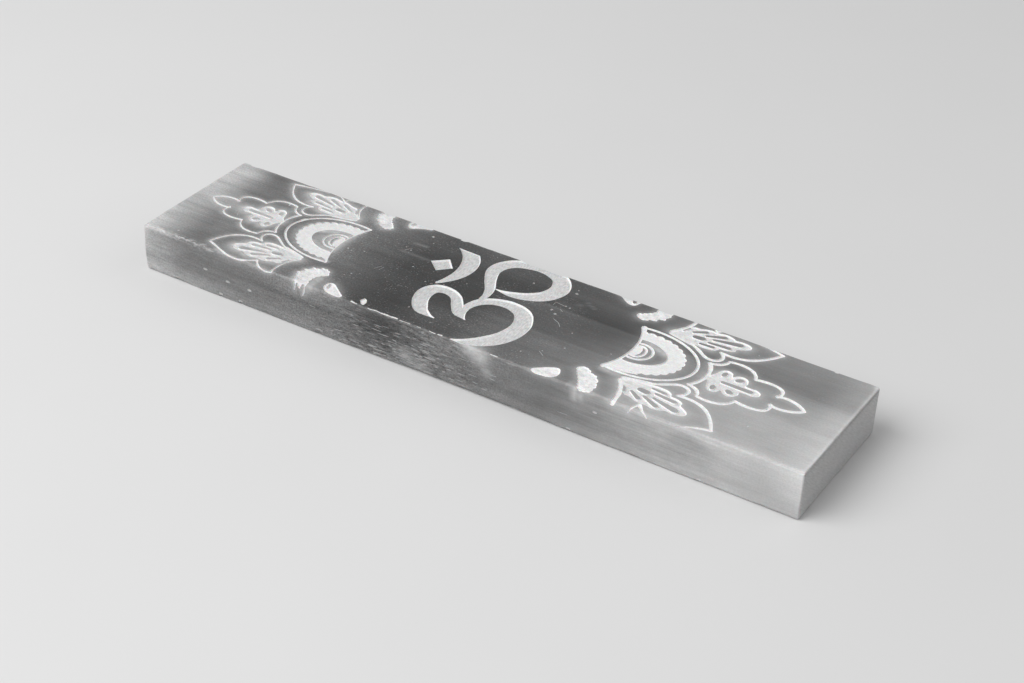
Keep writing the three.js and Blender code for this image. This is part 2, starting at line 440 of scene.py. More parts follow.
def medallion(end):
    steps = 4 * SCALLOPS
    middle = ellipse_arc(BAND_RADII, HALF_TURN, steps)
    turn = np.linspace(-HALF_TURN, HALF_TURN, steps + 1)
    bulge = np.abs(np.sin(turn / HALF_TURN * SCALLOPS * math.pi / 2)) - 0.5
    half = 1.85 + 0.45 * np.abs(np.cos(turn))
    front_end = 0.45 * np.clip(-turn / HALF_TURN, 0, 1) ** 3
    core = oval(CORE_CENTRE, CORE_RADII, 0, 28)
    scalloped_band = band(middle, half, half + 0.5 * bulge + front_end)
    rings = [
        line(ellipse_arc(radii, HALF_TURN, 40), end["ring"], shake=0.08) for radii in SMALL_RINGS
    ]
    rings.append(line(ellipse_arc(OUTER_RING, HALF_TURN, 70), end["ring"] + 0.05, shake=0.12))
    return core, scalloped_band, rings


def closing_line(end):
    closing = math.asin(CLOSING_HALF / CLEAR_RADIUS)
    radius = CLEAR_RADIUS + end["ring"] / 3
    path = ellipse_arc((radius, radius), closing, 40, (CLEAR_CENTRE, 0))
    half = end["ring"] / 2 + end["corner"] / 2 * np.abs(np.linspace(-1, 1, 41)) ** 3
    return band(path, half, half)


# The lines, leaves and spots of an ornament, in its own axes. What is not on its axis comes twice.
BASE_OF_AXIAL_PETAL = ellipse_arc((10.1, 10.1), 0.62, 22, (8.2, 0))
SIDE_LINES = [
    chain(
        bezier([16.3, 5.75], [18.6, 6.2], [19.8, 7.1], [19.95, 9.2]),
        bezier([19.95, 9.2], [22.3, 10], [26.9, 10.1], [28, 5.8], 14),
    ),
    bezier([28.1, 5.75], [30.8, 6.7], [37.1, 6.8], [35.2, 2], 16),
    bezier([34.95, 2.15], [37.3, 3.2], [40.6, 2.3], [42.6, 0], 14),
    chain(
        bezier([16.45, 11.75], [18.5, 10.7], [18.7, 7.3], [15.7, 7.25], 12),
        bezier([15.7, 7.25], [13.6, 7.25], [12.7, 9.3], [9, 11], 14),
    ),
]
FOOT_LINE = bezier([9, 10.9], [7, 11.4], [5, 11.8], [2.6, 12.6])
# The outer petal. Each of the four is given on its own, and three of them run off over an edge.
PETALS = {
    (-1, -1): {
        "tip": (28, 20.1),
        "whole": [
            bezier([28, 20.1], [21.5, 22.1], [17.5, 26.2], [11.3, 20.8], 30),
            bezier([11.3, 20.8], [10.2, 22.9], [7, 24.9], [4.9, 23.5], 14),
            bezier([4.9, 23.6], [5, 20.5], [5.6, 18], [2.3, 13.6], 18),
        ],
    },
    (-1, 1): {
        "tip": (28.3, 20.1),
        "whole": [bezier([2.3, 13.7], [4.9, 17.8], [5.3, 19.6], [4.7, 21.9], 16)],
        "lost": [
            bezier([28.3, 20.1], [25.5, 20.8], [22.5, 21.6], [17.5, 22.15], 22),
            bezier([11.15, 19.95], [12, 21], [13.2, 22], [14.4, 22.2], 10),
            bezier([11.15, 19.95], [11, 21], [10.4, 22], [8.8, 22.2], 8),
        ],
    },
    (1, 1): {
        "tip": (28.9, 19.9),
        "whole": [bezier([2.4, 13.5], [4.6, 16.5], [5.4, 18.8], [5.5, 21.2], 16)],
        "lost": [
            bezier([28.9, 19.9], [27.6, 20.5], [26, 20.9], [23.5, 21.2], 12),
            bezier([11.4, 20.3], [11.8, 20.6], [12.2, 20.9], [12.9, 21.2], 4),
            bezier([11.4, 20.3], [11.2, 20.6], [11, 20.9], [10.6, 21.2], 4),
        ],
    },
    (1, -1): {
        "tip": (28.9, 20.4),
        "lost": [
            bezier([28.9, 20.4], [26.8, 20.8], [25, 21.6], [21.9, 23.4], 14),
            bezier([11.2, 20.6], [12, 21.8], [13, 22.8], [14.6, 24.4], 10),
            bezier([11.2, 20.6], [10.4, 22], [10.1, 23.2], [9.8, 25], 10),
        ],
        "broad": [
            chain(
                bezier([2.4, 13.7], [4.4, 16.5], [5.2, 19.5], [5.4, 21.5], 14),
                bezier([5.4, 21.5], [5.5, 22.6], [5.5, 23.2], [5.5, 24], 6),
            ),
        ],
    },
}
SPUR = bezier([22.8, 9.8], [22.6, 9.3], [22.2, 9], [22.3, 8.4], 5)
# The fan of leaves in the outer petal: its rim, and the slots of plain stone left standing in the leaves
FAN_RIM = [
    (2, 13.6), (3.4, 12.5), (6, 11.7), (9, 11.3), (11.5, 11), (13.9, 11.2), (15.3, 12.1),
    (15.6, 12.95), (17.4, 13.2), (18.9, 14.1), (19.1, 15.3), (20.4, 16.2), (21.6, 17.3), (21.5, 18.6),
    (20.3, 19.4), (18.6, 19.6), (17.1, 19.4), (16.2, 20), (14.2, 20.45), (12.3, 20), (10.6, 20.05),
    (9.2, 19.8), (7.5, 19), (6.3, 18.9), (5.4, 18.1), (4.8, 16.8), (3.6, 15.4),
]
FAN_SLOTS = [
    ((12.6, 16.15), 0.26, (18.8, 17.85), 0.76), ((12.2, 14.15), 0.26, (17.2, 14.7), 0.48),
    ((10.6, 12.5), 0.22, (13.8, 12.75), 0.38), ((10.4, 16.8), 0.26, (14.4, 18.85), 0.52),
    ((7, 16.5), 0.24, (9.6, 18.35), 0.46), ((4.5, 15.8), 0.18, (5.3, 17.5), 0.3),
    ((8.3, 14.65), 0.6, (10, 14.85), 0.75),
]
# One half of the flower of five leaves, from the tip of the middle leaf to its foot
FLOWER_HALF_RIM = [
    (31.4, 0.95), (30.2, 1.6), (28.6, 1.5), (27.4, 1.75), (27.5, 2.9), (26.9, 4.3), (25.6, 4.95),
    (24.2, 4.5), (23.35, 3.6), (22.9, 4.7), (21.7, 5.4), (20.4, 4.9), (19.7, 3.4), (19.3, 2),
    (18.7, 1.1), (17.9, 0.8),
]
FLOWER_RIM = [(31.75, 0)] + FLOWER_HALF_RIM + [(x, -y) for x, y in reversed(FLOWER_HALF_RIM)]
MIDDLE_SLOT = ((22.4, 0), 0.36, (29.2, 0), 0.6)
FLOWER_SLOTS = [((21.35, 3.4), (0.95, 0.45), 1.45), ((25.3, 3), (0.95, 0.6), 0.65)]
# The scalloped beans and the small leaves beyond the medallion, and the slots in three of the four small
# leaves
BEANS = {
    (-1, -1): [
        (-8.6, 15.5), (-8.5, 16.4), (-7.5, 17.4), (-6.7, 18.4), (-6.3, 19.7), (-6.3, 21.5), (-6.1, 22.9),
        (-5, 23.7), (-3.4, 23.8), (-2.2, 22.9), (-1.7, 21.2), (-1.2, 20.1), (-1, 19), (-1.8, 18.1),
        (-1.7, 17.1), (-2.8, 16.1), (-3, 15.1), (-4.9, 14.7), (-5.2, 13.9), (-6.6, 13.75), (-7.8, 14.2),
    ],
    (-1, 1): [
        (-1.2, 22.6), (-1.3, 21.2), (-0.8, 20.2), (-1, 19.2), (-1.4, 18.2), (-1.7, 17.1), (-2.4, 16.5),
        (-3.1, 15.8), (-3.5, 15), (-4.6, 14.4), (-5.7, 13.7), (-6.8, 13.6), (-7.8, 14.1), (-8.4, 14.9),
        (-8.1, 15.9), (-7.1, 17.2), (-6, 18.5), (-5.2, 20.2), (-5, 22.6),
    ],
    (1, -1): [
        (-8.6, 15.3), (-8, 16.6), (-7.2, 17.8), (-6.4, 18.9), (-5.7, 20), (-4.9, 21.7), (-4.3, 23),
        (-3.1, 23.8), (-1.5, 23.4), (-0.6, 22.6), (-0.6, 21.2), (-0.5, 19.9), (-1.1, 18.9), (-1.4, 17.4),
        (-2.2, 16.9), (-2.8, 15.8), (-4.5, 15.4), (-5.2, 14.6), (-6.7, 13.9), (-7.9, 14.3),
    ],
    (1, 1): [
        (-4.85, 21.8), (-4.95, 19.7), (-5.5, 18.6), (-6.4, 17.6), (-7.4, 16.7), (-8.25, 16.2),
        (-8.45, 15.3), (-7.95, 14.45), (-6.9, 13.9), (-5.75, 13.7), (-4.85, 14.3), (-4.4, 15),
        (-3.4, 15.05), (-2.8, 15.5), (-2.7, 16.6), (-1.85, 16.8), (-1.2, 17.4), (-1.3, 18.3),
        (-0.7, 19.1), (-0.8, 20.1), (-1.25, 21.8),
    ],
}
SMALL_LEAVES = {
    (-1, -1): [
        (-10.8, 20.4), (-11.1, 19.4), (-11.9, 18.6), (-13, 18.8), (-14.5, 19.9), (-16.2, 21.2),
        (-17.6, 22.3), (-17.4, 23.1), (-16, 23.4), (-13.5, 23.2), (-11.8, 22.5), (-10.9, 21.4),
    ],
    (-1, 1): [
        (-10.6, 20.2), (-11, 19.1), (-11.8, 18.4), (-12.5, 18.5), (-13.5, 19.2), (-14.5, 19.9),
        (-16, 20.7), (-17.5, 21.2), (-17.4, 22.3), (-14, 22.5), (-11, 22.4), (-10.5, 21.2),
    ],
    (1, -1): [
        (-17.4, 22.2), (-15.9, 20.7), (-14, 19.2), (-12.2, 18.3), (-11.3, 18.8), (-10.7, 19.95),
        (-10.6, 21.2), (-11.3, 22.5), (-13, 23.3), (-15.9, 23.6), (-17.2, 23.1),
    ],
    (1, 1): [
        (-16.5, 21.8), (-15.3, 20.7), (-14.3, 19.8), (-13.3, 19.1), (-12.3, 18.7), (-11.35, 18.8),
        (-10.7, 19.4), (-10.45, 20.3), (-10.45, 21.8),
    ],
}
SMALL_SLOTS = {
    (-1, -1): ((-11.9, 20.4), (1.2, 0.2)),
    (-1, 1): ((-11.75, 21), (0.95, 0.34)),
    (1, 1): ((-11.85, 21.1), (1.1, 0.42)),
}
# Where the front left-hand bean has run down over the front edge: x, y and width
LEFT_DRIPS = [
    [[-6.25, 22.2, 1], [-6.4, 24.6, 0.6], [-6.6, 26.4, 0.7], [-6.85, 28, 0.35]],
    [[-3.1, 22.6, 1], [-3.3, 24.6, 0.7], [-3.6, 26.1, 0.45], [-3.8, 26.9, 0.25]],
    [[-4.5, 22.6, 1.9], [-4.7, 24.2, 1.5], [-4.95, 25.4, 0.6]],
]
# Where the stone between two lines has broken away
LEFT_SMUDGE = [[14.7, 2.4, 0.4], [14.3, 4.2, 1.1], [13.6, 5.4, 0.5]]
RIGHT_SMUDGE = [[-3.3, -9.9, 1], [-1, -9.9, 1.3], [2, -9.7, 1.1], [4.6, -9.3, 0.4]]


def placed(shape, end, side=1):
    """Moves an outline from an ornament's own axes to the slab's."""
    def outline(grow):
        x, y = shape(grow).T
        along = x * np.where(x > 0, end["stretch"][0], end["inner_stretch"])
        along += end["far_stretch"] * np.clip(x - 17, 0, None)
        return np.column_stack([
            end["hub"][0] + end["outward"] * along, end["hub"][1] + side * end["stretch"][1] * y,
        ])

    return outline


# A cutter that runs over a long edge is sliced at these distances from the middle, to bend there
FOLD_CUTS = [20.9, 21.3, 21.6, 21.9, 22.2, 22.5, 22.8, 23.1, 23.4, 23.8, 24.4, 25.2]


def as_drawn(flat):
    return flat


def cutter(shape, depth, finish, fit=fitted, slope=WALL_SLOPE, wall_finish=None):
    """A closed cutter with sloping walls, laid on the worn stone."""
    foot = fit(shape(-slope * depth))
    rim = fit(shape(slope * HEADROOM))
    deselect_all()
    bpy.ops.mesh.primitive_circle_add(vertices=len(foot), fill_type="NGON")
    tool = bpy.context.object
    tool.data.materials.append(finish)
    move_vertices(tool, at_height(foot, -depth))
    edit_all()
    bpy.ops.mesh.extrude_region_move(TRANSFORM_OT_translate={"value": (0, 0, (depth + HEADROOM) * MM)})
    bpy.ops.object.mode_set(mode="OBJECT")
    flat = vertices_of(tool)
    upper = flat[:, 2] > 0
    above = np.abs(flat[upper][:, None, :2] - foot[None]).sum(axis=2).argmin(axis=1)
    flat[upper, :2] = rim[above]
    move_vertices(tool, flat)
    if wall_finish:
        tool.data.materials.append(wall_finish)
        for face in tool.data.polygons:
            face.material_index = int(abs(face.normal.z) < 0.99)
    edit_all()
    bpy.ops.mesh.normals_make_consistent(inside=False)
    low, high = flat[:, 1].min(), flat[:, 1].max()
    for fold in FOLD_CUTS + [-f for f in FOLD_CUTS]:
        if low < fold < high:
            slice_across(1, fold)
    bpy.ops.object.mode_set(mode="OBJECT")
    move_vertices(tool, unfolded(vertices_of(tool)))
    return tool


def combined(piece, tools, operation):
    """Unites a piece with tools, or cuts them out of it, and clears them away."""
    group = bpy.data.collections.new("tools")
    bpy.context.scene.collection.children.link(group)
    for tool in tools:
        for old in list(tool.users_collection):
            old.objects.unlink(tool)
        group.objects.link(tool)
    change = piece.modifiers.new("cut", "BOOLEAN")
    change.operation = operation
    change.operand_type = "COLLECTION"
    change.collection = group
    change.solver = "MANIFOLD"
    change.material_mode = "TRANSFER"
    pick(piece)
    bpy.ops.object.modifier_apply(modifier="cut")
    for tool in tools:
        bpy.data.objects.remove(tool)
    bpy.data.collections.remove(group)
    return piece


# Where the engraving runs, kept to cloud the stone beside it with powder and with painted glow of light
# scattered in the stone: places, strength and reach
glowing = []
CLOUD_AND_GLOW_STEP = 0.4
# A slot's tool goes this much deeper than the leaf that it stands in
SLOT_OVERLAP = 0.12


def remember(outline, strength, reach):
    closed = np.concatenate([outline, outline[:1]])
    steps = np.concatenate([[0], np.cumsum(np.linalg.norm(np.diff(closed, axis=0), axis=1))])
    even = np.arange(0, steps[-1], CLOUD_AND_GLOW_STEP)
    places = np.column_stack([np.interp(even, steps, closed[:, i]) for i in (0, 1)])
    glowing.append((unfolded(at_height(places)), strength, reach))


def ornament(end, finish, leaf_finish, bean_finish, rim_finish):
    outward, width = end["outward"], end["line"]

    # Each cut clouds the stone beside it, partly with powder and partly with painted glow
    def cloud(outline, kind):
        strength, reach = CLOUDS_AND_GLOW[kind]
        remember(fitted(outline), strength * end["halo_glow"], reach)

    def tool(shape, side=1, cloud_glow_kind=None, floor=finish, slope=WALL_SLOPE, walls=None):
        there = placed(shape, end, side)
        if cloud_glow_kind:
            cloud(there(0), cloud_glow_kind)
        return cutter(there, ORNAMENT_DEPTH, floor, slope=slope, wall_finish=walls)

    def leafy(rim, side, cloud_glow_kind, slots=(), floor=leaf_finish):
        """A leaf or a group of leaves, with pale sloping walls and slots of plain stone left in it."""
        shape = tool(blob(rim), side, cloud_glow_kind, floor, 1, rim_finish)
        if slots:
            combined(shape, [standing(slot, side, end["slot_growth"]) for slot in slots], "DIFFERENCE")
        return shape

    def standing(shape, side=1, growth=0, slope=-0.4):
        """Takes plain stone out of a cutter, so that it is left standing in the slab."""
        there = placed(shape, end, side)
        if growth:
            # A grown slot clouds the stone round it with powder and painted glow
            remember(fitted(there(growth)), end["slot_halo_glow"], 0.8)
        depth = ORNAMENT_DEPTH + SLOT_OVERLAP
        return cutter(lambda grow: there(grow + growth), depth, rim_finish, slope=slope)

    core, scalloped_band, rings = medallion(end)
    half_medallion = combined(tool(core), [tool(shape) for shape in [scalloped_band] + rings], "UNION")
    clear_x = end["hub"][0] + outward * CLEAR_CENTRE
    for shape, kind in ((scalloped_band, "band"), (rings[0], "inner ring"), (rings[1], "outer ring")):
        rim = placed(shape, end)(0)
        outside = np.hypot(rim[:, 0] - clear_x, rim[:, 1] - end["hub"][1]) > CLEAR_RADIUS + 0.6
        cloud(rim[outside], kind)
    clear_circle = oval((CLEAR_CENTRE, 0), (CLEAR_RADIUS, CLEAR_RADIUS), 0, 120)
    combined(half_medallion, [standing(clear_circle, slope=0)], "DIFFERENCE")
    base_line = line(BASE_OF_AXIAL_PETAL, width + 0.1)
    tools = [half_medallion, tool(closing_line(end)), tool(base_line, 1, "line")]
    if end is LEFT_END:
        tools += [tool(line(SPUR, 0.36)), tool(pen_stroke(LEFT_SMUDGE, 5))]
        tools += [tool(pen_stroke(drip, 4, 0.2), -1, "line") for drip in LEFT_DRIPS]
    else:
        tools.append(tool(pen_stroke(RIGHT_SMUDGE, 5)))
    slots = [leaf(*MIDDLE_SLOT)] + [oval(*slot) for slot in FLOWER_SLOTS]
    slots += [oval((x, -y), radii, -tilt) for (x, y), radii, tilt in FLOWER_SLOTS]
    tools.append(leafy(FLOWER_RIM, 1, "flower", slots))
    for side in (1, -1):
        petal = PETALS[(outward, side)]
        inner_edge = bezier(petal["tip"], [26.6, 15.5], [24, 10.4], [16.45, 11.75], 24)
        whole = SIDE_LINES + petal.get("whole", []) + [inner_edge]
        tools += [tool(line(path, width), side, "line") for path in whole]
        lost = petal.get("lost", [])
        tools += [tool(line(path, width + 0.12, runs_out=True), side, "lost line") for path in lost]
        tools += [tool(line(path, 1.25), side, "broad line") for path in petal.get("broad", [])]
        tools.append(tool(line(FOOT_LINE, 1.15), side))
        tools.append(leafy(FAN_RIM, side, "fan", [leaf(*slot, 6) for slot in FAN_SLOTS]))
        bean = blob(BEANS[(outward, side)], 7, 0.12, 0.3 if end is LEFT_END else 0.2)
        tools.append(tool(bean, side, "bean", bean_finish, 0.8, rim_finish))
        small_slot = SMALL_SLOTS.get((outward, side))
        slots = [oval(*small_slot, math.radians(-80))] if small_slot else []
        tools.append(leafy(SMALL_LEAVES[(outward, side)], side, "small leaf", slots, bean_finish))
    return tools


# Small marks: each is a shallow cut with a paler floor. A speck is x, y and radius.
SPECKS = [
    (-32.1, 19.3, 0.4), (15.2, 16.4, 0.42), (13.8, 5.5, 0.36), (15.6, 4.2, 0.38), (-20.8, -2.2, 0.24),
    (-27.7, 2.3, 0.26), (-30, 16, 0.22), (-35, 10, 0.2), (-47.4, 0, 0.3), (-46, -0.4, 0.2),
    (-42.8, 1.2, 0.22), (-33, 9.2, 0.24), (17.6, -16.4, 0.26), (-16, -0.5, 0.2), (-39, -10.4, 0.24),
    (24, -1.3, 0.22), (3.1, 14.2, 0.28), (-17.2, -15.4, 0.26), (26, -8.6, 0.24), (-40.2, -12, 0.2),
    (22, -13, 0.2), (-8.5, -18.5, 0.2), (80, -12.6, 0.28), (14.8, 18.2, 0.24), (-11.2, 3.3, 0.2),
    (68.3, 17.8, 0.2), (-90.2, -19.6, 0.3), (17.3, 8.9, 0.3), (16, 9.1, 0.26), (37, -4, 0.2),
]
SCRATCHES = [
    [(12.9, 7.8), (12.8, 9.4), (14.6, 9.2), (16.2, 8.9)], [(15.6, 7), (16.6, 6.3)],
    [(-35.6, -4.6), (-34.6, -2.4)], [(-34.2, -4.4), (-33.8, -2.6)], [(-34.4, 8.6), (-33.2, 10.2)],
    [(-83.5, -1.2), (-83.2, -2.3), (-82.5, -3.4)], [(21.5, -13.6), (23.2, -14.8)],
    [(16.5, 1.9), (18.6, 0.9), (19.8, -0.5)],
]
SCRATCH_WIDTH = 0.16
# A bright splash of cuts by the front edge
SPARK = [(-29.4, -20.1), (-28.8, -18.7), (-27.9, -19.1), (-27.2, -20.4), (-27.3, -21.7), (-28.3, -21.5)]
# Where the front top edge is bruised: from and to along the slab, and how wide
BRUISES = [
    (-31, -29, 0.5), (-25.6, -21, 0.34), (-21.4, -16.2, 0.5), (-15.6, -12.4, 0.22), (-10.2, -9, 0.3),
    (-6.4, -4.6, 0.28), (-3.8, -2.6, 0.45), (1.2, 2.6, 0.2), (12, 14.4, 0.4), (-88, -86.4, 0.24),
]
BRUISED_LINE = -22.05
# Splinters lie along the middle of the front, and eight nicks apart from them, each at x and height
SPLINTERS = 95
NICKS = [(-78.9, 7), (-71.3, 5.7), (-73.7, 1.1), (-67.1, 1.1), (-64, 5.6), (36, 1), (43.1, 8.8), (73, 0.9)]
NICK_RADII = (0.75, 0.36)


def marks(finish, bruise_finish):
    tools = []
    for x, y, radius in SPECKS:
        tools.append(cutter(oval((x, y), (radius * 1.25, radius), x, 8), SPECK_DEPTH, finish))
    for path in SCRATCHES:
        path = np.array(path, float)
        share = np.linspace(0, len(path) - 1, 4 * len(path))
        smooth = np.column_stack([np.interp(share, range(len(path)), path[:, i]) for i in (0, 1)])
        tools.append(cutter(line(smooth, SCRATCH_WIDTH), SCRATCH_DEPTH, finish))
    for first, last, width in BRUISES:
        along = np.arange(first, last, 0.35)
        spread = np.column_stack([along, along, along])
        wander = 0.22 * lumps(spread, (2, 1e6, 1e6))
        path = np.column_stack([along, BRUISED_LINE + wander])
        half = width / 2 * (0.75 + 0.9 * np.abs(lumps(spread, (0.8, 1e6, 1e6), 4)))
        tools.append(cutter(band(path, half, half), BRUISE_DEPTH, bruise_finish, as_drawn))
    return tools


def splinters(finish, nick_finish):
    """Short shallow cuts along the fibres of the front, where the stone has splintered, and a few nicks."""
    chance = np.random.default_rng(11)
    tools = []
    for _ in range(SPLINTERS):
        x = chance.normal(-13, 13)
        z = chance.uniform(0.9, 10.5)
        length = chance.uniform(0.7, 3.4)
        width = chance.uniform(0.12, 0.3)
        tilt = chance.normal(0, 0.05)
        path = np.array([(-0.5, -0.1), (-0.2, 0.05), (0.2, -0.05), (0.5, 0.1)]) * (length, width)
        path += (x, z - TOP - HALF[1])
        path[:, 1] += (path[:, 0] - x) * tilt
        half = width / 2 * np.array([0.4, 1, 0.8, 0.3])
        tools.append(cutter(band(path, half, half), SPLINTER_DEPTH, finish, as_drawn))
    for x, z in NICKS:
        shape = oval((x, z - TOP - HALF[1]), NICK_RADII, 0, 9)
        tools.append(cutter(shape, SPECK_DEPTH, nick_finish, as_drawn))
    return tools


def chips(finish):
    """Small pieces broken off the lower edges and the ends."""
    chance = np.random.default_rng(5)
    places = [(x, FRONT, 0.1) for x in (-88, -73.6, -67, -41, -22, -9, 4, 19, 36, 55.5, 73, 90)]
    places += [(x, BACK, 0.1) for x in (-80, -52, -31, -3, 26, 47, 71, 93)]
    places += [(x, BACK, 13.95) for x in (-96, -24, 88)]
    places += [(100, y, 0.1) for y in (-16, 3, 15)] + [(-100, y, 0.6) for y in (-9, 12)]
    places += [(100, BACK, 9.5), (-100, 22, 8)]
    tools = []
    for place in places:
        deselect_all()
        bpy.ops.mesh.primitive_ico_sphere_add(subdivisions=3, radius=1)
        tool = bpy.context.object
        tool.data.materials.append(finish)
        along_x = abs(place[1]) > 22 and abs(place[0]) < 99
        size = chance.uniform((0.7, 0.3, 0.3), (2.2, 0.62, 0.55))
        if not along_x:
            size = size[[1, 0, 2]] * (0.8, 0.6, 1)
        points = vertices_of(tool) * MM
        rough = 1 + 0.35 * lumps(points, (0.7, 0.7, 0.7), chance.uniform(0, 50))
        spot = on_stone(np.array([place], float))[0]
        move_vertices(tool, points * rough[:, None] * size + spot)
        tools.append(tool)
    return tools


def vertex_values(piece, name, values):
    layer = piece.data.attributes.new(name, "FLOAT", "POINT")
    layer.data.foreach_set("value", np.asarray(values, np.float32))


def nearest(points, targets):
    tree = kdtree.KDTree(len(targets))
    for i, target in enumerate(targets):
        tree.insert(target, i)
    tree.balance()
    return np.array([tree.find(p)[2] for p in points])


# Smears of powder from the engraving, partly painted glow of light scattered in the stone: from and to, as
# x and y or x and height, then radius and strength
TOP_SMEARS = [
    (-44.4, -17.4, -44.2, -22.2, 1.8, 0.45), (-42.4, -16.6, -41.6, -21.5, 1.6, 0.2),
    (-39.4, -17, -36, -19.6, 1.1, 0.16), (-34, 12.9, -30.5, 13.2, 0.55, 0.13),
    (-35, 7.6, -26, 7.4, 0.6, 0.1), (-57, 0, -50.5, 7.4, 2.4, 0.3), (-57, 0, -51.5, -5.2, 2.2, 0.28),
    (-50.5, 5.6, -50.5, -3.4, 1.7, 0.5), (-51.5, -8.9, -48.2, -9.2, 0.9, 0.5),
    (-60, 11.2, -50, 11.4, 1.1, 0.25), (-48.6, 8, -49.3, 2, 0.8, 0.14), (-49.3, 0, -48.3, -7, 0.8, 0.14),
    (-62, 12.6, -56, 13.6, 1.3, 0.4), (38.6, -10.9, 43.4, -11.5, 1.1, 0.45),
    (39, -9.4, 44, -9.3, 0.7, 0.6), (41.6, 6.7, 48.8, 3.9, 1.5, 0.55), (50, -20.8, 60, -20.6, 1.5, 0.22),
    (35.6, -22, 35.8, -19.4, 0.7, 0.25), (18.4, 11.8, 19.4, 11.8, 0.5, 0.12),
    (20, 13.8, 23, 12.4, 0.4, 0.1), (-72, -20, -59, -21.2, 2, 0.16), (-48.8, 10.6, -49.8, 6, 0.6, 0.5),
    (36.7, -14.4, 34.6, -15.2, 1.2, 0.2), (-59, 3, -52, 6.9, 1.1, 0.55),
    (-57.5, -2.4, -52, -4.4, 1, 0.48),
]
FRONT_SMEARS = [
    (5.6, 14, 9.4, 12.2, 2.5, 0.5), (9, 11, 11.6, 8.2, 1.6, 0.26), (36.9, 13.9, 36.9, 10.6, 0.8, 0.42),
    (38.6, 13.9, 38.7, 11.4, 0.9, 0.36), (-49, 14, -44.6, 12.6, 1.3, 0.3), (-14, 4.5, -7, 0.8, 2.2, 0.2),
    (47, 13.9, 58, 13.3, 0.8, 0.28), (-12, 4.6, -6, 1.4, 1.6, 0.12),
]
# A painted highlight on the back top corner of the right end
CORNER_HIGHLIGHT = ((99.2, 21.6, 14), (99.5, 21.9, 13.2), 0.7, 0.6)
SMEARS = [CORNER_HIGHLIGHT]
SMEARS += [((x, y, TOP), (x2, y2, TOP), *others) for x, y, x2, y2, *others in TOP_SMEARS]
SMEARS += [((x, FRONT, z), (x2, FRONT, z2), *others) for x, z, x2, z2, *others in FRONT_SMEARS]


def mark_cloud_and_glow(piece):
    """Marks how cloudy each point is, as powder and as painted glow and highlight: beside the engraving,
    where powder lies, where a glow or a highlight is painted, and on the rounded edges.
    """
    points = vertices_of(piece)
    powder_and_glow = np.zeros(len(points))
    for strength, reach in sorted({(strength, reach) for _, strength, reach in glowing}):
        sources = np.concatenate([places for places, s, r in glowing if (s, r) == (strength, reach)])
        # The glow is shifted towards the front, where the lit walls of the cuts show through the stone:
        # painted light
        away = nearest(points + (0.1, 0.3 * reach, 0), sources)
        powder_and_glow = np.maximum(powder_and_glow, strength * np.exp(-away / reach))
    for start, end, radius, strength in SMEARS:
        start, end = np.array(start, float), np.array(end, float)
        span = end - start
        share = np.clip((points - start) @ span / (span @ span), 0, 1)
        away = np.linalg.norm(points - start - share[:, None] * span, axis=1)
        powder_and_glow = np.maximum(powder_and_glow, strength * np.exp(-((away / radius) ** 2)))
    vertex_values(piece, "powder_and_glow", powder_and_glow)
    to_walls = np.sort(HALF - np.abs(points - MIDDLE), axis=1)
    vertex_values(piece, "edge", np.clip(1 - to_walls[:, 1] / 1.1, 0, 1) * (to_walls[:, 0] < 0.6))


STONE_IOR = 1.52
# The tone of powder lying on the stone and of the painted glow beside the engraving, and of stone where it
# is bruised
POWDER_AND_GLOW_TONE = 0.78
BRUISE_TONE = 0.85
# Between these places along the slab its surface turns into the sawn end face
END_FACE = (99.6, 99.95)


# Finishes. A value that changes over the surface can be added to and multiplied like a number.
def operator(operation, reflected=False):
    def result(self, other):
        terms = (other, self) if reflected else (self, other)
        return self.finish.maths(operation, *terms)

    return result


class Value:
    def __init__(self, finish, socket):
        self.finish = finish
        self.socket = socket

    __add__, __radd__ = operator("ADD"), operator("ADD", True)
    __sub__, __rsub__ = operator("SUBTRACT"), operator("SUBTRACT", True)
    __mul__, __rmul__ = operator("MULTIPLY"), operator("MULTIPLY", True)
    __truediv__ = operator("DIVIDE")


